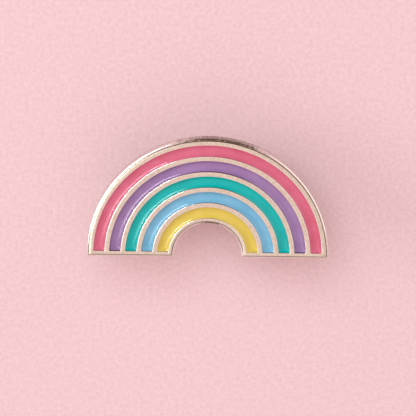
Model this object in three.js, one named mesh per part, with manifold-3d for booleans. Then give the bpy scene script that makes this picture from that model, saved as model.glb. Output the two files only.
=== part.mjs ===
// Rainbow enamel pin: a struck metal badge with five recessed enamel bands, two soldered posts
// and two butterfly clutches. Millimetres, +Z up. The badge lies face up with the crown of its
// arch toward +Y, and stands on the wings of its clutches. The origin is under the middle.
import * as THREE from 'three';
import { mergeVertices } from 'three/addons/utils/BufferGeometryUtils.js';
import Module from 'manifold-3d';

const wasm = await Module();
wasm.setup();

// badge
const OUTER_R = 16;
const OUTER_RIM = 0.9;
const INNER_RIM = 0.77;
const LEG_BAR = 0.77;
const LINE = 0.67;
const BAND = 1.44;
const BAND_COUNT = 5;
const BANDS_R = OUTER_R - OUTER_RIM - BAND_COUNT * BAND - (BAND_COUNT - 1) * LINE;
const INNER_R = BANDS_R - INNER_RIM;
const PLATE_T = 1.6;
const SHOULDER = 0.3;
const SHOULDER_STEPS = 4;
const BACK_EDGE = 0.1;
const POCKET_DEPTH = 0.8;
const CORNER_R = 0.36;
const CORNER_STEPS = 4;
const LEG_DROP = 0.27;
const RING_SEGMENTS = 96;
const FIT = 0.02;

// enamel surface, measured down from the top of the metal lines
const ENAMEL_EDGE_DROP = 0.1;
const ENAMEL_SAG = 0.26;
const SAG_STEPS = 6;

// posts
const POST_R = 0.55;
const POST_LENGTH = 8;
const HEAD_R = 1.1;
const HEAD_T = 0.3;
const HEAD_FILLET = 0.1;
const SOLDER_R = 1.75;
const SOLDER_STEP = 0.25;
const NECK_R = 0.36;
const NECK_START = 6;
const NECK_END = 7;
const NECK_TAPER = 0.15;
const TIP_R = 0.42;
const TIP_TAPER = 0.4;
const POINT_R = 0.12;
const POST_RING_R = 10.3;
const POST_ANGLE = THREE.MathUtils.degToRad(30);

// clutches, in their own frame: z = 0 is the face on the cloth, and +z runs away from the badge
const CLOTH_GAP = 3.4;
const DISC_R = 5;
const DISC_HOLE_R = 0.66;
const SHEET = 0.35;
const RIM_R = 0.4;
const WALL_IN = 1.4;
const WALL_OUT = WALL_IN + SHEET;
const WALL_HALF_Y = 1.75;
const WALL_TOP = 4.6;
const FOOT_X = 3.1;
const ROOF_TOP = 5.1;
const ROOF_HALF_Y = 0.8;
const ROOF_BEND = 0.5;
const PIVOT_Y = 1.25;
const PIVOT_Z = 4.1;
const PIVOT_R = 0.28;
const PIVOT_HOLE_R = 0.34;
const BARREL_R = 0.36;
const BARREL_HALF_X = 1.3;
const JAW_HALF_X = 1.1;
const JAW_LIP_Z = 3.1;
const JAW_BACK_Y = 1.43;
const JAW_EDGE_Y = 0.06;
const JAW_NOTCH_R = 0.46;
const SPRING_T = 0.18;
const SPRING_TOP = 3.45;
const SPRING_BEND = 0.3;
const SPRING_HOLE_R = 0.8;
const WING_TIP_Y = 3.45;
const WING_TIP_Z = 5.7;
const WING_HALF_X = 1.7;
const WING_NECK = 1.15;
const WING_FLARE = 0.7;
const BEAD_R = 0.3;

const BADGE_BACK_Z = CLOTH_GAP + WING_TIP_Z + BEAD_R;

function paint(color, roughness, metalness) {
  return new THREE.MeshStandardMaterial({ color, roughness, metalness });
}

const platedMetal = () => paint(0xe0d2c0, 0.3, 1);
const solderMetal = () => paint(0xbfbcb6, 0.45, 1);
const postMetal = () => paint(0xcfc8bf, 0.25, 1);
const clutchMetal = () => paint(0xd6cfc4, 0.25, 1);
const springMetal = () => paint(0xb9b4ab, 0.35, 1);

// solids

function toSolid(geometry) {
  const bare = geometry.clone();
  bare.deleteAttribute('normal');
  bare.deleteAttribute('uv');
  const merged = mergeVertices(bare, 1e-4);
  const vertProperties = new Float32Array(merged.attributes.position.array);
  const triVerts = new Uint32Array(merged.index.array);
  return new wasm.Manifold(new wasm.Mesh({ numProp: 3, vertProperties, triVerts }));
}

function toGeometry(solid) {
  const mesh = solid.getMesh();
  const geometry = new THREE.BufferGeometry();
  geometry.setAttribute('position', new THREE.BufferAttribute(mesh.vertProperties, 3));
  geometry.setIndex(new THREE.BufferAttribute(mesh.triVerts, 1));
  geometry.computeVertexNormals();
  return geometry;
}

function lathe(profile, segments) {
  const points = profile.map(([r, z]) => new THREE.Vector2(r, z));
  return new THREE.LatheGeometry(points, segments).rotateX(Math.PI / 2);
}

function ring(profile, segments) {
  return lathe([...profile, profile[0]], segments);
}

function extrude(points, depth) {
  const shape = new THREE.Shape(points.map(([x, y]) => new THREE.Vector2(x, y)));
  return new THREE.ExtrudeGeometry(shape, { depth, bevelEnabled: false });
}

function block(low, high) {
  const size = high.map((value, axis) => value - low[axis]);
  const centre = high.map((value, axis) => (value + low[axis]) / 2);
  return toSolid(new THREE.BoxGeometry(...size).translate(...centre));
}

function rodAlongX(radius, halfLength, y, z, segments) {
  const rod = new THREE.CylinderGeometry(radius, radius, 2 * halfLength, segments);
  return toSolid(rod.rotateZ(Math.PI / 2).translate(0, y, z));
}

function rodAlongZ(radius, low, high, segments) {
  const rod = new THREE.CylinderGeometry(radius, radius, high - low, segments);
  return toSolid(rod.rotateX(Math.PI / 2).translate(0, 0, (low + high) / 2));
}

function arc(centreX, centreY, radius, from, to, steps) {
  const points = [];
  for (let i = 0; i <= steps; i += 1) {
    const angle = from + ((to - from) * i) / steps;
    points.push([centreX + radius * Math.cos(angle), centreY + radius * Math.sin(angle)]);
  }
  return points;
}

// badge

function badgeOutline(inset) {
  const outer = OUTER_R - inset;
  const inner = INNER_R + inset;
  const c = CORNER_R - inset;
  const lift = CORNER_R - LEG_DROP;
  const outerTurn = Math.asin(lift / outer);
  const innerTurn = Math.asin(lift / inner);
  const right = Math.PI / 2;
  const steps = RING_SEGMENTS / 2;
  return [
    ...arc(outer - c, lift, c, -right, 0, CORNER_STEPS),
    ...arc(0, 0, outer, outerTurn, Math.PI - outerTurn, steps).slice(1, -1),
    ...arc(c - outer, lift, c, Math.PI, 3 * right, CORNER_STEPS),
    ...arc(-inner - c, lift, c, -right, 0, CORNER_STEPS),
    ...arc(0, 0, inner, Math.PI - innerTurn, innerTurn, steps).slice(1, -1),
    ...arc(inner + c, lift, c, Math.PI, 3 * right, CORNER_STEPS),
  ];
}

// Each level is an outline and its height. The levels are joined by walls and closed at both ends.
function loft(levels) {
  const count = levels[0].outline.length;
  const positions = levels.flatMap(({ outline, z }) => outline.flatMap(([x, y]) => [x, y, z]));
  const flat = levels[0].outline.map(([x, y]) => new THREE.Vector2(x, y));
  const cap = THREE.ShapeUtils.triangulateShape(flat, []);
  const top = (levels.length - 1) * count;
  const indices = cap.flatMap(([a, b, c]) => [a, c, b, top + a, top + b, top + c]);
  for (let low = 0; low < top; low += count) {
    for (let i = 0; i < count; i += 1) {
      const next = (i + 1) % count;
      indices.push(low + i, low + next, low + count + next);
      indices.push(low + i, low + count + next, low + count + i);
    }
  }
  const geometry = new THREE.BufferGeometry();
  geometry.setAttribute('position', new THREE.Float32BufferAttribute(positions, 3));
  geometry.setIndex(indices);
  return toSolid(geometry);
}

function badgePlate() {
  const levels = [
    { outline: badgeOutline(BACK_EDGE), z: 0 },
    { outline: badgeOutline(0), z: BACK_EDGE },
  ];
  for (let i = 0; i <= SHOULDER_STEPS; i += 1) {
    const turn = (i / SHOULDER_STEPS) * (Math.PI / 2);
    const inset = SHOULDER * (1 - Math.cos(turn));
    levels.push({ outline: badgeOutline(inset), z: PLATE_T - SHOULDER * (1 - Math.sin(turn)) });
  }
  return loft(levels);
}

function bandInnerRadius(index) {
  return BANDS_R + index * (BAND + LINE);
}

function aboveLegEnds(gap) {
  const barTop = LEG_BAR - LEG_DROP;
  return block([-OUTER_R, barTop + gap, -1], [OUTER_R, OUTER_R, PLATE_T + 1]);
}

function pocket(index) {
  const inner = bandInnerRadius(index);
  const floor = PLATE_T - POCKET_DEPTH;
  const profile = [
    [inner, floor],
    [inner + BAND, floor],
    [inner + BAND, PLATE_T + 0.5],
    [inner, PLATE_T + 0.5],
  ];
  return toSolid(ring(profile, RING_SEGMENTS)).intersect(aboveLegEnds(0));
}

function badgeBase() {
  let plate = badgePlate();
  for (let index = 0; index < BAND_COUNT; index += 1) {
    plate = plate.subtract(pocket(index));
  }
  return new THREE.Mesh(toGeometry(plate), platedMetal());
}

function enamelSurface(low, high) {
  const points = [];
  for (let i = SAG_STEPS; i >= 0; i -= 1) {
    const across = i / SAG_STEPS;
    const sag = ENAMEL_SAG * 4 * across * (1 - across);
    points.push([low + (high - low) * across, PLATE_T - ENAMEL_EDGE_DROP - sag]);
  }
  return points;
}

function enamelBand(index, color) {
  const low = bandInnerRadius(index) + FIT;
  const high = bandInnerRadius(index) + BAND - FIT;
  const floor = PLATE_T - POCKET_DEPTH + FIT;
  const profile = [[low, floor], [high, floor], ...enamelSurface(low, high)];
  const band = toSolid(ring(profile, RING_SEGMENTS)).intersect(aboveLegEnds(FIT));
  return new THREE.Mesh(toGeometry(band), paint(color, 0.12, 0));
}

// posts, running down from the back of the badge at z = 0

function post() {
  const down = [
    [0, -FIT],
    [HEAD_R, -FIT],
    [HEAD_R, -HEAD_T],
    [POST_R + HEAD_FILLET, -HEAD_T - HEAD_FILLET],
    [POST_R, -HEAD_T - 3 * HEAD_FILLET],
    [POST_R, -NECK_START],
    [NECK_R, -NECK_START - NECK_TAPER],
    [NECK_R, NECK_TAPER - NECK_END],
    [TIP_R, -NECK_END],
    [TIP_R * 0.8, -NECK_END - TIP_TAPER],
    [POINT_R, POINT_R / 2 - POST_LENGTH],
    [0, -POST_LENGTH],
  ];
  return new THREE.Mesh(lathe(down.reverse(), 20), postMetal());
}

function solderFillet() {
  const profile = [
    [HEAD_R + FIT, -HEAD_T],
    [HEAD_R + SOLDER_STEP, -HEAD_T * 0.62],
    [SOLDER_R - SOLDER_STEP / 2, -HEAD_T * 0.3],
    [SOLDER_R, -FIT],
    [HEAD_R + FIT, -FIT],
  ];
  return new THREE.Mesh(ring(profile, 20), solderMetal());
}

// clutch

function clutchDisc() {
  const rimCentre = DISC_R - RIM_R;
  const rim = arc(rimCentre, RIM_R, RIM_R, -Math.PI / 2, Math.PI, 8);
  const profile = [[DISC_HOLE_R, 0], ...rim, [rimCentre - RIM_R, SHEET], [DISC_HOLE_R, SHEET]];
  return new THREE.Mesh(ring(profile, 32), clutchMetal());
}

function mirrored(points) {
  return points.map(([across, up]) => [-across, up]).reverse();
}

function bentStrip(outer, inner, width) {
  const section = [...outer, ...mirrored(outer), ...mirrored(inner), ...inner];
  return extrude(section, width);
}

function clutchHousing() {
  const footZ = SHEET + FIT;
  const outer = [
    [FOOT_X, footZ],
    [FOOT_X, footZ + SHEET],
    [WALL_OUT, footZ + SHEET],
    ...arc(WALL_OUT - ROOF_BEND, ROOF_TOP - ROOF_BEND, ROOF_BEND, 0, Math.PI / 2, 3),
  ];
  const innerBend = ROOF_BEND / 2;
  const inner = [
    ...arc(WALL_IN - innerBend, ROOF_TOP - SHEET - innerBend, innerBend, Math.PI / 2, 0, 2),
    [WALL_IN, footZ],
  ];
  const strip = bentStrip(outer, inner, 2 * WALL_HALF_Y);
  let housing = toSolid(strip.rotateX(Math.PI / 2).translate(0, WALL_HALF_Y, 0));
  for (const side of [-1, 1]) {
    const [near, far] = [side * ROOF_HALF_Y, side * (WALL_HALF_Y + 1)];
    const low = [-FOOT_X, Math.min(near, far), WALL_TOP];
    const high = [FOOT_X, Math.max(near, far), ROOF_TOP + 1];
    housing = housing.subtract(block(low, high));
    housing = housing.subtract(rodAlongX(PIVOT_HOLE_R, FOOT_X, side * PIVOT_Y, PIVOT_Z, 16));
  }
  return new THREE.Mesh(toGeometry(housing), clutchMetal());
}

function clutchSpring() {
  const bendZ = SHEET + FIT + SPRING_BEND;
  const armIn = JAW_BACK_Y + FIT;
  const armOut = armIn + SPRING_T;
  const outer = [
    ...arc(armOut - SPRING_BEND, bendZ, SPRING_BEND, -Math.PI / 2, 0, 3),
    [armOut, SPRING_TOP],
  ];
  const innerBend = SPRING_BEND - SPRING_T;
  const inner = [
    [armIn, SPRING_TOP],
    ...arc(armIn - innerBend, bendZ, innerBend, 0, -Math.PI / 2, 2),
  ];
  const section = [...mirrored(outer), ...outer, ...inner, ...mirrored(inner)];
  const strip = extrude(section, 2 * JAW_HALF_X).rotateX(Math.PI / 2).rotateZ(Math.PI / 2);
  const spring = toSolid(strip.translate(-JAW_HALF_X, 0, 0));
  const hole = rodAlongZ(SPRING_HOLE_R, 0, 1, 16);
  return new THREE.Mesh(toGeometry(spring.subtract(hole)), springMetal());
}

function wingOutline(length) {
  const flare = WING_NECK + WING_FLARE;
  const right = [
    [BARREL_HALF_X, 0],
    [BARREL_HALF_X, WING_NECK],
    [BARREL_HALF_X + 0.12, WING_NECK + 0.35 * WING_FLARE],
    [WING_HALF_X - 0.08, WING_NECK + 0.8 * WING_FLARE],
    [WING_HALF_X, flare],
    [WING_HALF_X, length],
  ];
  return [...right, ...mirrored(right)];
}

function wingBlade() {
  const along = WING_TIP_Y - PIVOT_Y;
  const away = WING_TIP_Z - PIVOT_Z;
  const blade = extrude(wingOutline(Math.hypot(along, away)), SHEET);
  blade.translate(0, 0, -SHEET / 2).rotateX(Math.atan2(away, along));
  return toSolid(blade.translate(0, PIVOT_Y, PIVOT_Z));
}

function wingJaw() {
  const armIn = JAW_BACK_Y - SHEET;
  const arm = block([-JAW_HALF_X, armIn, JAW_LIP_Z], [JAW_HALF_X, JAW_BACK_Y, PIVOT_Z]);
  const lipTop = JAW_LIP_Z + SHEET;
  const lip = block([-JAW_HALF_X, JAW_EDGE_Y, JAW_LIP_Z], [JAW_HALF_X, JAW_BACK_Y, lipTop]);
  return arm.add(lip).subtract(rodAlongZ(JAW_NOTCH_R, JAW_LIP_Z - 1, lipTop + 1, 16));
}

function clutchWing() {
  const wing = wingBlade()
    .add(wingJaw())
    .add(rodAlongX(BARREL_R, BARREL_HALF_X, PIVOT_Y, PIVOT_Z, 12))
    .add(rodAlongX(PIVOT_R, WALL_OUT - FIT, PIVOT_Y, PIVOT_Z, 12))
    .add(rodAlongX(BEAD_R, WING_HALF_X - 0.1, WING_TIP_Y, WING_TIP_Z, 12));
  return new THREE.Mesh(toGeometry(wing), clutchMetal());
}

// assembly

function named(mesh, name) {
  mesh.name = name;
  return mesh;
}

function clutch(side) {
  const group = new THREE.Group();
  const lowerWing = named(clutchWing(), `${side}_clutch_lower_wing`);
  const upperWing = named(clutchWing(), `${side}_clutch_upper_wing`);
  upperWing.rotation.z = Math.PI;
  group.add(named(clutchDisc(), `${side}_clutch_disc`));
  group.add(named(clutchHousing(), `${side}_clutch_housing`));
  group.add(named(clutchSpring(), `${side}_clutch_spring`));
  group.add(lowerWing, upperWing);
  group.rotation.x = Math.PI;
  return group;
}

function badge() {
  const bands = [
    ['enamel_yellow', 0xebcd64],
    ['enamel_light_blue', 0x85c2e0],
    ['enamel_teal', 0x02beb7],
    ['enamel_purple', 0xa58ab7],
    ['enamel_pink', 0xee7d94],
  ];
  const group = new THREE.Group();
  group.add(named(badgeBase(), 'badge_base'));
  bands.forEach(([name, color], index) => {
    group.add(named(enamelBand(index, color), name));
  });
  return group;
}

function fastening(side, direction) {
  const group = new THREE.Group();
  const clutchGroup = clutch(side);
  clutchGroup.position.z = -CLOTH_GAP;
  group.add(named(post(), `${side}_post`));
  group.add(named(solderFillet(), `${side}_post_solder`));
  group.add(clutchGroup);
  group.position.x = direction * POST_RING_R * Math.cos(POST_ANGLE);
  group.position.y = POST_RING_R * Math.sin(POST_ANGLE);
  return group;
}

const pin = new THREE.Group();
pin.add(badge(), fastening('left', -1), fastening('right', 1));
pin.position.set(0, -(OUTER_R - LEG_DROP) / 2, BADGE_BACK_Z);

export default pin;
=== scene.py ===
import math

import bmesh
import bpy
from mathutils import Matrix, Vector, noise


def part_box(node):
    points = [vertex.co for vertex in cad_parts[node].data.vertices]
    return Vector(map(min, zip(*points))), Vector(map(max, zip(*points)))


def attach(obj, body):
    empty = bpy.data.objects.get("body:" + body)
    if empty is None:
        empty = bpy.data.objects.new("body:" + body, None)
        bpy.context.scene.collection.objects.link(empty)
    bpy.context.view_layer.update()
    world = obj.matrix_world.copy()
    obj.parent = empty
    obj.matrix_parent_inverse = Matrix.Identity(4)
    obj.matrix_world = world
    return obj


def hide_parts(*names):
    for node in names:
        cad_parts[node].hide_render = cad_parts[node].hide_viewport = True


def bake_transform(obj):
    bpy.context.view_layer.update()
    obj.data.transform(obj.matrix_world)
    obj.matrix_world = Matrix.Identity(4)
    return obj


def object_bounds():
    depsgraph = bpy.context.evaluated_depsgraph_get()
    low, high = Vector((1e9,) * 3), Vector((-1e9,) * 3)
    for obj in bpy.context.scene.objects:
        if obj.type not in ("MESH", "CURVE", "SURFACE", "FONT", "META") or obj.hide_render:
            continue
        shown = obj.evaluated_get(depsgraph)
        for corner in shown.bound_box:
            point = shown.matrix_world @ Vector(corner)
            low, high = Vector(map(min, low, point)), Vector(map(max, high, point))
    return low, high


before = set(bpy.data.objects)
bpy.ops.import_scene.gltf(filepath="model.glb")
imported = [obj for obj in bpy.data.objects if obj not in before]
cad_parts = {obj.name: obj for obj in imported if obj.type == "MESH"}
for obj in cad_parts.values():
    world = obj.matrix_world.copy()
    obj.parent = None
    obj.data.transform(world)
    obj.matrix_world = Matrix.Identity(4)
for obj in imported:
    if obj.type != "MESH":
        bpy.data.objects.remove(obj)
CAD_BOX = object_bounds()

MM = 0.001
TAU = 2 * math.pi
SCENE = bpy.context.scene

# ---------------------------------------------------------------- the frame's own sizes, in metres

BADGE_LOW, BADGE_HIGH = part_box("badge_base")
OUTER_R = (BADGE_HIGH.x - BADGE_LOW.x) / 2
CENTRE_Y = BADGE_HIGH.y - OUTER_R
LEG_END = BADGE_LOW.y - CENTRE_Y
FACE_Z = BADGE_HIGH.z
BACK_Z = BADGE_LOW.z
BANDS = ["enamel_pink", "enamel_purple", "enamel_teal", "enamel_light_blue", "enamel_yellow"]
BAND_OUTER = [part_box(name)[1].y - CENTRE_Y for name in BANDS]
BAND = 1.44 * MM
INNER_RIM = 0.77 * MM
BAND_INNER = [outer - BAND for outer in BAND_OUTER]
INNER_R = BAND_INNER[-1] - INNER_RIM
BAR_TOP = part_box("enamel_pink")[0].y - CENTRE_Y
POCKET_DEPTH = FACE_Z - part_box("enamel_pink")[0].z
CORNER_R = 0.36 * MM
EDGE_R = 0.1 * MM
BACK_EDGE_R = 0.12 * MM
HAIR = 0.001 * MM

# Steps along the arc between the legs, and columns across a band of enamel.
BADGE_ARC_STEPS = 220
FILL_ARC_STEPS = 160
FILL_COLUMNS = 24

# The struck badge's material slots, in order.
# The CREASE and POCKET_WALL slots carry painted shade, and SHOULDER a painted dark reflection over the
# crown.
FACE, SHOULDER, BACK, CREASE, POCKET_EDGE, POCKET_WALL = range(6)


# ---------------------------------------------------------------- mesh helpers

def new_object(name, mesh, body):
    obj = bpy.data.objects.new(name, mesh)
    SCENE.collection.objects.link(obj)
    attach(obj, body)
    return obj


def finish_mesh(bm, name, sharp_angle=0.7):
    bmesh.ops.recalc_face_normals(bm, faces=bm.faces)
    for face in bm.faces:
        face.smooth = True
    for edge in bm.edges:
        edge.smooth = edge.calc_face_angle(0) < sharp_angle
    mesh = bpy.data.meshes.new(name)
    bm.to_mesh(mesh)
    bm.free()
    return mesh


def weighted_normals(obj):
    modifier = obj.modifiers.new("weighted_normals", "WEIGHTED_NORMAL")
    modifier.keep_sharp = True
    modifier.weight = 60


def quad_strip(bm, one, two, material=FACE):
    for i in range(len(one) - 1):
        face = bm.faces.new((one[i], one[i + 1], two[i + 1], two[i]))
        face.material_index = material


def quad_loop(bm, one, two, material=FACE):
    quad_strip(bm, one + one[:1], two + two[:1], material)


def grid_rim(grid):
    """The outline of a grid of vertices: the outer side, one leg's end, the inner side, the other end."""
    rim = [row[0] for row in grid] + grid[-1][1:-1]
    return rim + [row[-1] for row in reversed(grid)] + list(reversed(grid[0][1:-1]))


def close_ring(bm, loop, rows, columns, material=FACE):
    """Fills a loop that follows a grid's rim with quads along the arc and one face at each leg's end."""
    outer = loop[:rows]
    left_end = loop[rows:rows + columns - 2]
    inner = list(reversed(loop[rows + columns - 2:2 * rows + columns - 2]))
    right_end = list(reversed(loop[2 * rows + columns - 2:]))
    for i in range(1, rows - 2):
        face = bm.faces.new((outer[i], outer[i + 1], inner[i + 1], inner[i]))
        face.material_index = material
    first = [outer[1], outer[0], *right_end, inner[0], inner[1]]
    last = [outer[-2], outer[-1], *left_end, inner[-1], inner[-2]]
    for corner in (first, last):
        bm.faces.new(corner).material_index = material


# ---------------------------------------------------------------- materials

# Each metal's colour and roughness run between two values. Its grain is a noise scale in cycles
# for each metre, and its depth is in millimetres.
POLISH = {
    "dark": (0.86, 0.81, 0.74), "light": (0.94, 0.9, 0.85),
    "roughness": (0.1, 0.22), "grain": 2500, "depth": 0.004,
}
METALS = {
    "champagne_plating": {
        "dark": (0.655, 0.59, 0.47), "light": (0.865, 0.82, 0.715),
        "roughness": (0.3, 0.42), "grain": 4500, "depth": 0.007,
    },
    "polished_edge": POLISH,
    "blasted_back": {
        "dark": (0.66, 0.6, 0.52), "light": (0.8, 0.74, 0.65),
        "roughness": (0.4, 0.55), "grain": 9000, "depth": 0.02,
    },
    # Painted shade: the rim's crease is drawn as a near-black line.
    "painted_crease_shade": {
        "dark": (0.05, 0.035, 0.025), "light": (0.1, 0.075, 0.05),
        "roughness": (0.35, 0.5), "grain": 4000, "depth": 0.002,
    },
    "pocket_edge": POLISH,
    # Painted shade on the pockets' walls below the raised lines.
    "painted_pocket_wall_shade": {
        "dark": (0.1, 0.075, 0.055), "light": (0.22, 0.17, 0.13),
        "roughness": (0.25, 0.4), "grain": 4000, "depth": 0.002,
    },
    "bright_nickel": {
        "dark": (0.72, 0.7, 0.66), "light": (0.84, 0.82, 0.78),
        "roughness": (0.14, 0.28), "grain": 1800, "depth": 0.003,
    },
    "spring_strip": {
        "dark": (0.5, 0.49, 0.47), "light": (0.66, 0.64, 0.61),
        "roughness": (0.2, 0.36), "grain": 3000, "depth": 0.003,
    },
    "soft_solder": {
        "dark": (0.46, 0.45, 0.44), "light": (0.66, 0.65, 0.63),
        "roughness": (0.35, 0.6), "grain": 2200, "depth": 0.02,
    },
}
METAL_CLOUD_SCALE = 400
# The part of a noise texture's output that most of its values lie in.
NOISE_SPAN = (0.3, 0.7)
# The colour of the painted dark reflection on the edge over the crown.
CROWN_SHADE_COLOUR = (0.26, 0.21, 0.16)
# Painted dark reflection on the polished edge over the crown: where the crown points, and how far from it
# the painted shade fades and breaks up.
CROWN_WAY = (0.1, 1, 0)
FLECK_SCALE = 3200
RAGGEDNESS = 0.2
CROWN_SHADE_EDGE = (1.02, 1.1)
ENAMEL_CLOUD_SCALE = 500
ENAMEL_ROUGHNESS = (0.05, 0.1)
ENAMEL_SPECULAR = 0.36
PEEL_SCALE = 1500
PEEL_DEPTH = 0.004 * MM


def base_material(name):
    material = bpy.data.materials.new(name)
    material.use_nodes = True
    nodes = material.node_tree.nodes
    return material, nodes, material.node_tree.links, nodes["Principled BSDF"]


def noise_node(nodes, links, scale, detail=3.0, stretch=(1, 1, 1)):
    coordinates = nodes.new("ShaderNodeTexCoord")
    mapping = nodes.new("ShaderNodeMapping")
    mapping.inputs["Scale"].default_value = stretch
    texture = nodes.new("ShaderNodeTexNoise")
    texture.inputs["Scale"].default_value = scale
    texture.inputs["Detail"].default_value = detail
    links.new(coordinates.outputs["Object"], mapping.inputs["Vector"])
    links.new(mapping.outputs["Vector"], texture.inputs["Vector"])
    return texture


def tint(nodes, links, texture, dark, light, socket):
    ramp = nodes.new("ShaderNodeValToRGB")
    for stop, position, colour in zip(ramp.color_ramp.elements, NOISE_SPAN, (dark, light)):
        stop.position = position
        stop.color = (*colour, 1)
    links.new(texture.outputs["Fac"], ramp.inputs["Fac"])
    links.new(ramp.outputs["Color"], socket)


def vary(nodes, links, texture, low, high, socket):
    span = nodes.new("ShaderNodeMapRange")
    span.inputs["From Min"].default_value, span.inputs["From Max"].default_value = NOISE_SPAN
    span.inputs["To Min"].default_value = low
    span.inputs["To Max"].default_value = high
    links.new(texture.outputs["Fac"], span.inputs["Value"])
    links.new(span.outputs["Result"], socket)


def bump(nodes, links, texture, shader, distance):
    node = nodes.new("ShaderNodeBump")
    node.inputs["Strength"].default_value = 1.0
    node.inputs["Distance"].default_value = distance
    links.new(texture.outputs["Fac"], node.inputs["Height"])
    links.new(node.outputs["Normal"], shader.inputs["Normal"])


def metal(name):
    look = METALS[name]
    material, nodes, links, shader = base_material(name)
    shader.inputs["Metallic"].default_value = 1.0
    cloud = noise_node(nodes, links, METAL_CLOUD_SCALE, 4)
    grain = noise_node(nodes, links, look["grain"])
    tint(nodes, links, grain, look["dark"], look["light"], shader.inputs["Base Color"])
    vary(nodes, links, cloud, *look["roughness"], shader.inputs["Roughness"])
    bump(nodes, links, grain, shader, look["depth"] * MM)
    return material


def crown_shade_mask(nodes, links):
    """1 at the crown of the arch, falling to 0 on either side of it, with a ragged edge: the mask of the
    painted dark reflection.
    """
    coordinates = nodes.new("ShaderNodeTexCoord")
    outward = nodes.new("ShaderNodeVectorMath")
    outward.operation = "SUBTRACT"
    outward.inputs[1].default_value = (0, CENTRE_Y, (FACE_Z + BACK_Z) / 2)
    unit = nodes.new("ShaderNodeVectorMath")
    unit.operation = "NORMALIZE"
    along = nodes.new("ShaderNodeVectorMath")
    along.operation = "DOT_PRODUCT"
    along.inputs[1].default_value = Vector(CROWN_WAY).normalized()
    flecks = noise_node(nodes, links, FLECK_SCALE, 3, (1, 1, 0.3))
    ragged = nodes.new("ShaderNodeMath")
    ragged.operation = "MULTIPLY_ADD"
    ragged.inputs[1].default_value = RAGGEDNESS
    share = nodes.new("ShaderNodeMapRange")
    share.interpolation_type = "SMOOTHSTEP"
    share.inputs["From Min"].default_value, share.inputs["From Max"].default_value = CROWN_SHADE_EDGE
    links.new(coordinates.outputs["Object"], outward.inputs[0])
    links.new(outward.outputs["Vector"], unit.inputs[0])
    links.new(unit.outputs["Vector"], along.inputs[0])
    links.new(flecks.outputs["Fac"], ragged.inputs[0])
    links.new(along.outputs["Value"], ragged.inputs[2])
    links.new(ragged.outputs["Value"], share.inputs["Value"])
    return share.outputs["Result"]


def paint_crown_shade(material):
    """Paints shade on the metal of the edge where it runs over the crown, as a painted dark reflection.
    """
    nodes, links = material.node_tree.nodes, material.node_tree.links
    base = nodes["Principled BSDF"].inputs["Base Color"]
    mix = nodes.new("ShaderNodeMix")
    mix.data_type = "RGBA"
    mix.inputs["B"].default_value = (*CROWN_SHADE_COLOUR, 1)
    links.new(crown_shade_mask(nodes, links), mix.inputs["Factor"])
    links.new(base.links[0].from_socket, mix.inputs["A"])
    links.new(mix.outputs["Result"], base)
    return material


def enamel(name, deep, bright):
    material, nodes, links, shader = base_material(name)
    cloud = noise_node(nodes, links, ENAMEL_CLOUD_SCALE, 4)
    peel = noise_node(nodes, links, PEEL_SCALE, 2)
    tint(nodes, links, cloud, deep, bright, shader.inputs["Base Color"])
    vary(nodes, links, peel, *ENAMEL_ROUGHNESS, shader.inputs["Roughness"])
    bump(nodes, links, peel, shader, PEEL_DEPTH)
    shader.inputs["Specular IOR Level"].default_value = ENAMEL_SPECULAR
    return material


# ---------------------------------------------------------------- the badge

# A row runs across the ring. Near a leg's end it keeps one distance from that end, and between
# the legs it is spread evenly along the arc, so that pockets end square and arcs stay round.

def leg_row(y, left):
    def angle(radius):
        turn = math.asin(max(-1, min(1, y / radius)))
        return math.pi - turn if left else turn
    return {"angle": angle, "from_bar": y - BAR_TOP, "from_end": y - LEG_END}


def arc_row(start_y, share):
    def angle(radius):
        turn = math.asin(start_y / radius)
        return turn + share * (math.pi - 2 * turn)
    return {"angle": angle, "from_bar": 1.0, "from_end": 1.0}


def ring_rows(leg_heights, arc_steps):
    start = leg_heights[-1]
    right = [leg_row(y, False) for y in leg_heights]
    between = [arc_row(start, i / arc_steps) for i in range(1, arc_steps)]
    left = [leg_row(y, True) for y in reversed(leg_heights)]
    return right + between + left


def ring_point(radius, angle, z):
    return (radius * math.cos(angle), CENTRE_Y + radius * math.sin(angle), z)


def rounded_drop(inside, radius):
    """How far an edge of this radius has fallen, or a corner has stepped in, at a distance inside it."""
    if inside >= radius:
        return 0.0
    return radius - math.sqrt(max(0.0, radius * radius - (radius - inside) ** 2))


# The badge's rim from its outline inward, as (distance in, fall) in millimetres: a rounded
# shoulder, then the steep crease where the polished wall meets the satin face.
RIM_STEPS = [
    (0, 0.5), (0.01, 0.35), (0.025, 0.26), (0.055, 0.2), (0.12, 0.15), (0.19, 0.12), (0.24, 0.105),
    (0.335, 0.012), (0.35, 0),
]
RIM_SHOULDER, RIM_CREASE = 6, 7
RIM_WIDTH = RIM_STEPS[-1][0] * MM


def edge_steps(radius):
    """Distances across a rounded edge, closer together where it is steep."""
    return [radius * share for share in (0, 0.08, 0.3, 0.6, 1)]


def rim_drop(inside):
    """How far the rim has fallen, at a distance inside the outline."""
    for (near, fall), (far, next_fall) in zip(RIM_STEPS, RIM_STEPS[1:]):
        if inside <= far * MM:
            share = (inside - near * MM) / ((far - near) * MM)
            return (fall + (next_fall - fall) * share) * MM
    return 0.0


def badge_radii():
    radii = [OUTER_R - step * MM for step, fall in RIM_STEPS]
    for outer, inner in zip(BAND_OUTER, BAND_INNER):
        radii += [outer + step for step in reversed(edge_steps(EDGE_R))]
        radii += [outer - HAIR, inner + HAIR]
        radii += [inner - step for step in edge_steps(EDGE_R)]
    radii += [INNER_R + step * MM for step, fall in reversed(RIM_STEPS)]
    return radii


def badge_leg_heights():
    heights = [LEG_END + step * MM for step, fall in RIM_STEPS]
    heights.append(LEG_END + CORNER_R)
    heights += [BAR_TOP - step for step in reversed(edge_steps(EDGE_R))]
    heights += [BAR_TOP + HAIR, BAR_TOP + 0.1 * MM]
    return heights


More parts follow.
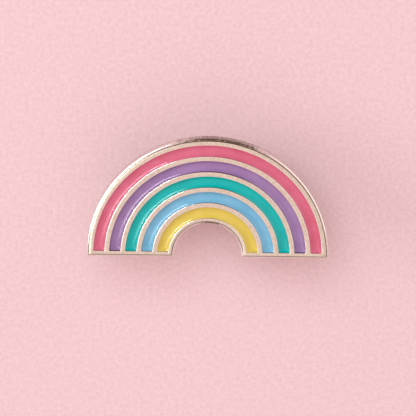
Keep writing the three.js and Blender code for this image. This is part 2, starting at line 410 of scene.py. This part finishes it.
def pocket_drop(radius, from_bar):
    """How far the struck face has fallen into a pocket or over a pocket's rounded edge."""
    across = min(max(radius - outer, inner - radius) for outer, inner in zip(BAND_OUTER, BAND_INNER))
    along = -from_bar
    if across <= 0 and along <= 0:
        return POCKET_DEPTH
    if across > 0 and along > 0:
        return rounded_drop(math.hypot(across, along), EDGE_R)
    return rounded_drop(max(across, along), EDGE_R)


def badge_row(bm, row):
    """One row of the struck face. Near a leg's end the rim steps in round the leg's corners."""
    vertices = []
    shift = rounded_drop(row["from_end"], CORNER_R)
    for radius in badge_radii():
        to_outer, to_inner = OUTER_R - radius, radius - INNER_R
        place = radius
        if to_outer <= RIM_WIDTH:
            place -= shift
        if to_inner <= RIM_WIDTH:
            place += shift
        rim = rim_drop(min(to_outer, to_inner, row["from_end"]))
        drop = max(rim, pocket_drop(radius, row["from_bar"]))
        vertices.append(bm.verts.new(ring_point(place, row["angle"](place), FACE_Z - drop)))
    return vertices


def badge_mesh():
    bm = bmesh.new()
    grid = [badge_row(bm, row) for row in ring_rows(badge_leg_heights(), BADGE_ARC_STEPS)]
    for one, two in zip(grid, grid[1:]):
        quad_strip(bm, one, two)
    mark_rim(bm)
    rim = grid_rim(grid)
    loop = rim
    for height, inset in ((1.0, 0.0), (0.3, 0.25), (0.0, 1.0)):
        lower = wall_loop(bm, rim, BACK_Z + height * BACK_EDGE_R, inset * BACK_EDGE_R)
        quad_loop(bm, loop, lower, SHOULDER)
        loop = lower
    close_ring(bm, loop, len(grid), len(grid[0]), BACK)
    return finish_mesh(bm, "badge")


def mark_rim(bm):
    """Polishes the shoulder and the pockets' edges, paints shade on the pockets' walls, and paints shade
    into the rim's crease as a dark line.
    """
    shoulder = RIM_STEPS[RIM_SHOULDER][1] * MM
    crease = RIM_STEPS[RIM_CREASE][1] * MM
    for face in bm.faces:
        falls = [FACE_Z - vertex.co.z for vertex in face.verts]
        if not all(near_outline(vertex.co) for vertex in face.verts):
            face.material_index = pocket_material(max(falls))
        elif min(falls) >= shoulder - HAIR:
            face.material_index = SHOULDER
        elif min(falls) >= crease - HAIR:
            face.material_index = CREASE


def pocket_material(fall):
    """The top of a raised line, its rounded edge, or the pocket's wall below that, which is painted dark
    as shade.
    """
    if fall > 1.02 * EDGE_R:
        return POCKET_WALL
    return POCKET_EDGE if fall > 0.03 * EDGE_R else FACE


def near_outline(point):
    """True on the rim, and on the strip that the rounded corners of the legs push inward."""
    radius = math.hypot(point.x, point.y - CENTRE_Y)
    inside = min(OUTER_R - radius, radius - INNER_R, point.y - CENTRE_Y - LEG_END)
    return inside < RIM_WIDTH + HAIR + 0.3 * CORNER_R


def wall_loop(bm, rim, z, inset):
    """The rim's outline again at height z, moved into the metal by inset."""
    loop = []
    middle = (OUTER_R + INNER_R) / 2
    for vertex in rim:
        x, y = vertex.co.x, vertex.co.y - CENTRE_Y
        radius = math.hypot(x, y)
        moved = radius - inset if radius > middle else radius + inset
        scale = moved / radius
        height = max(y * scale, LEG_END + inset)
        loop.append(bm.verts.new((x * scale, CENTRE_Y + height, z)))
    return loop


def make_badge():
    mesh = badge_mesh()
    mesh.materials.append(metal("champagne_plating"))
    # The shoulder's polished metal carries the painted dark reflection over the crown.
    mesh.materials.append(paint_crown_shade(metal("polished_edge")))
    # The crease and the pockets' walls get painted shade.
    for name in ("blasted_back", "painted_crease_shade", "pocket_edge", "painted_pocket_wall_shade"):
        mesh.materials.append(metal(name))
    obj = new_object("struck_badge", mesh, "badge")
    weighted_normals(obj)
    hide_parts("badge_base")


# ---------------------------------------------------------------- the enamel

# Each enamel's colour runs between two values. low is how much further down, in millimetres, it lies.
ENAMEL = {
    "enamel_pink": {"deep": (0.6, 0.12, 0.2), "bright": (0.67, 0.16, 0.26), "low": 0.0},
    "enamel_purple": {"deep": (0.31, 0.185, 0.4), "bright": (0.37, 0.235, 0.475), "low": 0.24},
    "enamel_teal": {"deep": (0.0, 0.43, 0.41), "bright": (0.0, 0.49, 0.47), "low": 0.1},
    "enamel_light_blue": {"deep": (0.145, 0.44, 0.65), "bright": (0.205, 0.51, 0.72), "low": 0.1},
    "enamel_yellow": {"deep": (0.64, 0.51, 0.075), "bright": (0.71, 0.58, 0.115), "low": 0.0},
}
FILL_EDGE = 0.08 * MM
FILL_SAG = 0.34 * MM
FILL_POWER = 2.0
FILL_CORNER = 10
FILL_SHARP_ANGLE = 1.0
# The cured surface's slow unevenness and fine ripple, each as (height, cycles for each metre).
UNEVENNESS = (0.03 * MM, 400)
RIPPLE = (0.004 * MM, 1500)


def wave(size, place):
    height, scale = size
    return height * noise.noise(place * scale)


def fill_drop(across, along, place, low):
    """Depth of the cured surface under the lines. across and along are 1 at a wall, 0 away from it."""
    climb = (abs(across) ** FILL_CORNER + along ** FILL_CORNER) ** (1 / FILL_CORNER)
    sag = FILL_SAG * (1 - min(1.0, climb) ** FILL_POWER)
    level = wave(UNEVENNESS, place)
    return FILL_EDGE + low * MM + sag * (1 + level / FILL_SAG) + wave(RIPPLE, place)


def band_rows(half):
    steps = [half * share for share in (0, 0.06, 0.14, 0.25, 0.4, 0.55, 0.7, 0.85, 1.0, 1.3)]
    return ring_rows([BAR_TOP + step for step in steps], FILL_ARC_STEPS)


def band_columns():
    """Shares across a band from -1 to 1, closer together at its walls."""
    half_count = FILL_COLUMNS // 2
    steps = range(-half_count, half_count + 1)
    return [math.sin(math.pi / 2 * i / half_count) for i in steps]


def band_row(bm, row, middle, half, low):
    along = max(0.0, 1 - row["from_bar"] / half)
    vertices = []
    for across in band_columns():
        radius = middle + half * across
        angle = row["angle"](radius)
        drop = fill_drop(across, along, Vector(ring_point(radius, angle, 0)), low)
        vertices.append(bm.verts.new(ring_point(radius, angle, FACE_Z - drop)))
    return vertices


def band_mesh(name, inner, outer, low):
    bm = bmesh.new()
    half, middle = (outer - inner) / 2, (outer + inner) / 2
    grid = [band_row(bm, row, middle, half, low) for row in band_rows(half)]
    for one, two in zip(grid, grid[1:]):
        quad_strip(bm, one, two)
    rim = grid_rim(grid)
    base = [bm.verts.new((vertex.co.x, vertex.co.y, FACE_Z - POCKET_DEPTH)) for vertex in rim]
    quad_loop(bm, rim, base)
    close_ring(bm, base, len(grid), len(grid[0]))
    return finish_mesh(bm, name, FILL_SHARP_ANGLE)


def make_enamel():
    for name, inner, outer in zip(BANDS, BAND_INNER, BAND_OUTER):
        look = ENAMEL[name]
        mesh = band_mesh(name, inner, outer, look["low"])
        colour = name.replace("enamel_", "")
        mesh.materials.append(enamel(f"{colour}_enamel", look["deep"], look["bright"]))
        obj = new_object(f"{colour}_fill", mesh, "badge")
        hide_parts(name)


# ---------------------------------------------------------------- posts and clutches

# Profiles are (radius, distance) in millimetres. A post's run down from the badge's back, and a
# disc's run away from the cloth.
POST_PROFILE = [
    (0, 0.02), (1.05, 0.02), (1.1, 0.06), (1.1, 0.24), (1.05, 0.3), (0.72, 0.34), (0.6, 0.42),
    (0.55, 0.6), (0.55, 5.98), (0.52, 6.04), (0.38, 6.14), (0.36, 6.22), (0.36, 6.8), (0.38, 6.9),
    (0.42, 7.0), (0.41, 7.1), (0.35, 7.4), (0.22, 7.72), (0.12, 7.93), (0.05, 7.99), (0, 8),
]
SOLDER_PROFILE = [
    (1.12, 0.3), (1.17, 0.29), (1.26, 0.24), (1.38, 0.17), (1.52, 0.11), (1.66, 0.06),
    (1.74, 0.03), (1.75, 0.02), (1.12, 0.02),
]
TURNED_SEGMENTS = 72
STAMPED_EDGE_R = 0.05 * MM
SOLDER_WOBBLE = 0.012
SHEET = 0.35
HOLE_R, HOLE_EDGE = 0.66, 0.05
GROOVE_DEPTH, GROOVE_HALF, GROOVE_FLOOR_HALF = 0.05, 0.14, 0.05
DISC_RIM_R = 0.4
DISC_RIM_STEPS = 16
DISC_BEAD = [(4.06, 0.35), (3.98, 0.42), (3.88, 0.45), (3.78, 0.42), (3.7, 0.35)]
DISC_GROOVES = [2.0, 3.3]
# A spring arm is cut into this many slices between its root by the disc and its tip.
ARM_CUTS = 12


def disc_profile(radius):
    """A flat sheet with two shallow grooves on the cloth side, a bead behind and a rolled rim."""
    rim = radius - DISC_RIM_R
    profile = [(HOLE_R, HOLE_EDGE), (HOLE_R + HOLE_EDGE, 0)]
    for groove in DISC_GROOVES:
        profile += [(groove - GROOVE_HALF, 0), (groove - GROOVE_FLOOR_HALF, GROOVE_DEPTH)]
        profile += [(groove + GROOVE_FLOOR_HALF, GROOVE_DEPTH), (groove + GROOVE_HALF, 0)]
    for i in range(DISC_RIM_STEPS + 1):
        turn = math.radians(-90 + 270 * i / DISC_RIM_STEPS)
        profile.append((rim + DISC_RIM_R * math.cos(turn), DISC_RIM_R * (1 + math.sin(turn))))
    return profile + [
        (rim - DISC_RIM_R, SHEET), *DISC_BEAD, (HOLE_R + HOLE_EDGE, SHEET), (HOLE_R, SHEET - HOLE_EDGE),
    ]


def lathe_column(bm, profile, centre, turn, wobble):
    """A profile's vertices at one turn about the axis. wobble is how unevenly it shrinks inward."""
    across, up = math.cos(turn), math.sin(turn)
    column = []
    for radius, distance in profile:
        uneven = 1 + noise.noise(Vector((across, up, distance)) * 2)
        reach = radius * (1 - wobble * uneven) * MM
        place = (centre.x + reach * across, centre.y + reach * up, centre.z - distance * MM)
        column.append(bm.verts.new(place))
    return column


def lathe(name, profile, centre, closed, wobble=0.0):
    """Turns a profile about a vertical axis. centre's height is where the profile's distance is 0."""
    bm = bmesh.new()
    columns = []
    for i in range(TURNED_SEGMENTS):
        column = lathe_column(bm, profile, centre, TAU * i / TURNED_SEGMENTS, wobble)
        columns.append(column + column[:1] if closed else column)
    for one, two in zip(columns, columns[1:] + columns[:1]):
        quad_strip(bm, one, two)
    bmesh.ops.remove_doubles(bm, verts=bm.verts, dist=HAIR)
    return finish_mesh(bm, name)


def middle_of(node):
    """The point at the top of a CAD node, on its middle line."""
    low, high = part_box(node)
    return Vector(((low.x + high.x) / 2, (low.y + high.y) / 2, high.z))


def turned_piece(side, part, name, body, profile, closed, material, wobble=0.0):
    """A piece turned about a clutch's axis, in place of its CAD node."""
    centre = middle_of(f"{side}_clutch_disc")
    if body == "badge":
        centre.z = BACK_Z
    mesh = lathe(f"{side}_{name}", profile, centre, closed, wobble)
    mesh.materials.append(material)
    obj = new_object(f"{side}_{name}", mesh, body)
    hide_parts(f"{side}_{part}")


def rounded(obj):
    """Rounds a piece's stamped edges."""
    rounding = obj.modifiers.new("rounding", "BEVEL")
    rounding.width = STAMPED_EDGE_R
    rounding.segments = 2
    rounding.limit_method = "ANGLE"
    rounding.angle_limit = math.radians(35)
    weighted_normals(obj)


def dress_node(node, material):
    """Gives a CAD piece its finish, and rounds its stamped edges."""
    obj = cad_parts[node]
    obj.data.materials.clear()
    obj.data.materials.append(material)
    rounded(obj)


def cut(bm, point, normal, **options):
    geometry = bm.verts[:] + bm.edges[:] + bm.faces[:]
    bmesh.ops.bisect_plane(bm, geom=geometry, plane_co=point, plane_no=normal, **options)


def spring_arm(side, wing, outward, material):
    """Half of a clutch's spring strip, cut into slices along its length."""
    node = f"{side}_clutch_spring"
    low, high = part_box(node)
    bm = bmesh.new()
    bm.from_mesh(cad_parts[node].data)
    bm.transform(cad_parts[node].matrix_world)
    cut(bm, middle_of(node), (0, outward, 0), clear_inner=True)
    for i in range(1, ARM_CUTS):
        cut(bm, (0, 0, high.z + (low.z - high.z) * i / ARM_CUTS), (0, 0, 1))
    mesh = bpy.data.meshes.new(f"{wing}_spring_arm")
    bm.to_mesh(mesh)
    bm.free()
    mesh.materials.append(material)
    obj = bpy.data.objects.new(mesh.name, mesh)
    SCENE.collection.objects.link(obj)
    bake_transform(obj)
    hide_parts(node)
    rounded(obj)


def make_fastenings():
    nickel = metal("bright_nickel")
    steel = metal("spring_strip")
    dull = metal("soft_solder")
    for side in ("left", "right"):
        disc_low, disc_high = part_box(f"{side}_clutch_disc")
        disc_radius = (disc_high.x - disc_low.x) / 2 / MM
        turned_piece(side, "post", "turned_post", "badge", POST_PROFILE, False, nickel)
        turned_piece(side, "post_solder", "solder_fillet", "badge", SOLDER_PROFILE, True, dull,
                     SOLDER_WOBBLE)
        turned_piece(side, "clutch_disc", "spun_disc", f"{side}_clutch",
                     disc_profile(disc_radius), True, nickel)
        spring_arm(side, f"{side}_upper_wing", 1, steel)
        spring_arm(side, f"{side}_lower_wing", -1, steel)
        for part in ("housing", "upper_wing", "lower_wing"):
            dress_node(f"{side}_clutch_{part}", nickel)


# ---------------------------------------------------------------- stage

LIGHT_DISTANCE = 1.0
COOL_WHITE = (0.87, 1, 1)
WARM_WHITE = (0.97, 0.95, 0.95)
NEUTRAL_WHITE = (0.97, 0.98, 0.97)
ROOM_LOW = (1.0, 0.88, 0.87)
ROOM_BETWEEN = (0.57, 0.37, 0.37)
ROOM_OVERHEAD = (0.93, 0.72, 0.69)
ROOM_DARK = (0.07, 0.055, 0.045)
FLOOR_HALF = 0.8
FIBRE_SCALE = 1900
FIBRE_DEPTH = 0.045 * MM
FLOOR_PINK = ((0.745, 0.545, 0.575), (0.835, 0.625, 0.655))


def make_floor():
    bm = bmesh.new()
    bmesh.ops.create_grid(bm, x_segments=8, y_segments=8, size=FLOOR_HALF)
    mesh = bpy.data.meshes.new("floor")
    bm.to_mesh(mesh)
    bm.free()
    material, nodes, links, shader = base_material("pale_paper")
    fibre = noise_node(nodes, links, FIBRE_SCALE, 4)
    tint(nodes, links, fibre, *FLOOR_PINK, shader.inputs["Base Color"])
    bump(nodes, links, fibre, shader, FIBRE_DEPTH)
    shader.inputs["Roughness"].default_value = 0.9
    mesh.materials.append(material)
    floor = bpy.data.objects.new("floor", mesh)
    floor.location.z = CAD_BOX[0].z
    SCENE.collection.objects.link(floor)


def area_light(name, azimuth, elevation, size, power, colour):
    """A lamp one metre off. Azimuth runs from the badge's right towards its crown, in degrees."""
    data = bpy.data.lights.new(name, "AREA")
    data.shape = "RECTANGLE"
    data.size, data.size_y = size
    data.energy = power
    data.color = colour
    lamp = bpy.data.objects.new(name, data)
    turn, rise = math.radians(azimuth), math.radians(elevation)
    way = Vector((math.cos(turn) * math.cos(rise), math.sin(turn) * math.cos(rise), math.sin(rise)))
    lamp.location = way * LIGHT_DISTANCE
    lamp.rotation_euler = (-way).to_track_quat("-Z", "Y").to_euler()
    SCENE.collection.objects.link(lamp)
    return lamp


def make_lights():
    """Two soft lamps light the surfaces, and four softboxes only show in the gloss."""
    lamps = [
        area_light("ceiling", 108, 58, (0.6, 0.6), 4.0, COOL_WHITE),
        area_light("side", 172, 30, (0.6, 0.3), 2.6, WARM_WHITE),
    ]
    softboxes = [
        area_light("panel", 192, 52, (0.6, 0.3), 1.3, NEUTRAL_WHITE),
        area_light("window", 158, 40, (1.0, 0.2), 4.0, NEUTRAL_WHITE),
        area_light("strip", 148, 35, (1.0, 0.035), 4.6, NEUTRAL_WHITE),
        area_light("reflector", 18, 28, (0.9, 0.3), 1.1, NEUTRAL_WHITE),
    ]
    for lamp in lamps:
        lamp.visible_glossy = False
    for lamp in softboxes:
        lamp.visible_diffuse = False


def sky_share(nodes, links, way, low, high):
    """0 away from a direction, 1 around it."""
    coordinates = nodes.new("ShaderNodeTexCoord")
    toward = nodes.new("ShaderNodeVectorMath")
    toward.operation = "DOT_PRODUCT"
    toward.inputs[1].default_value = Vector(way).normalized()
    share = nodes.new("ShaderNodeMapRange")
    share.interpolation_type = "SMOOTHSTEP"
    share.inputs["From Min"].default_value = low
    share.inputs["From Max"].default_value = high
    links.new(coordinates.outputs["Generated"], toward.inputs[0])
    links.new(toward.outputs["Value"], share.inputs["Value"])
    return share.outputs["Result"]


def make_world():
    """A pink room, bright low down and overhead, with one dark stretch low behind the crown."""
    world = bpy.data.worlds.new("studio")
    world.use_nodes = True
    nodes, links = world.node_tree.nodes, world.node_tree.links
    pale = nodes.new("ShaderNodeValToRGB")
    stops = pale.color_ramp.elements
    stops[0].position, stops[0].color = 0.1, (*ROOM_LOW, 1)
    stops[1].position, stops[1].color = 0.95, (*ROOM_OVERHEAD, 1)
    stops.new(0.45).color = (*ROOM_BETWEEN, 1)
    links.new(sky_share(nodes, links, (0, -0.3, 0.95), 0, 1), pale.inputs["Fac"])
    shade = nodes.new("ShaderNodeMix")
    shade.data_type = "RGBA"
    shade.inputs["B"].default_value = (*ROOM_DARK, 1)
    links.new(sky_share(nodes, links, (0.14, 0.95, 0.25), 0.83, 0.95), shade.inputs["Factor"])
    links.new(pale.outputs["Color"], shade.inputs["A"])
    links.new(shade.outputs["Result"], nodes["Background"].inputs["Color"])
    SCENE.world = world


def make_camera():
    """Looks down on the badge from the side of its crown, square to its left and right."""
    tilt = math.radians(17)
    roll = math.radians(0.75)
    distance = 360 * MM
    view_width = 54.65 * MM
    above_centre = 6.6 * MM
    data = bpy.data.cameras.new("camera")
    data.lens = data.sensor_width * distance / view_width
    data.clip_start = 0.02
    data.clip_end = 10
    camera = bpy.data.objects.new("camera", data)
    target = Vector((0, CENTRE_Y + above_centre, FACE_Z))
    right = Vector((1, 0, 0))
    back = Vector((0, math.sin(tilt), math.cos(tilt)))
    facing = Matrix((right, back.cross(right), back)).transposed()
    camera.location = target + back * distance
    camera.rotation_euler = (facing @ Matrix.Rotation(roll, 3, "Z")).to_euler()
    SCENE.collection.objects.link(camera)
    SCENE.camera = camera


SCENE.view_settings.view_transform = "Standard"
make_camera()
make_floor()
make_world()
make_lights()
make_badge()
make_enamel()
make_fastenings()
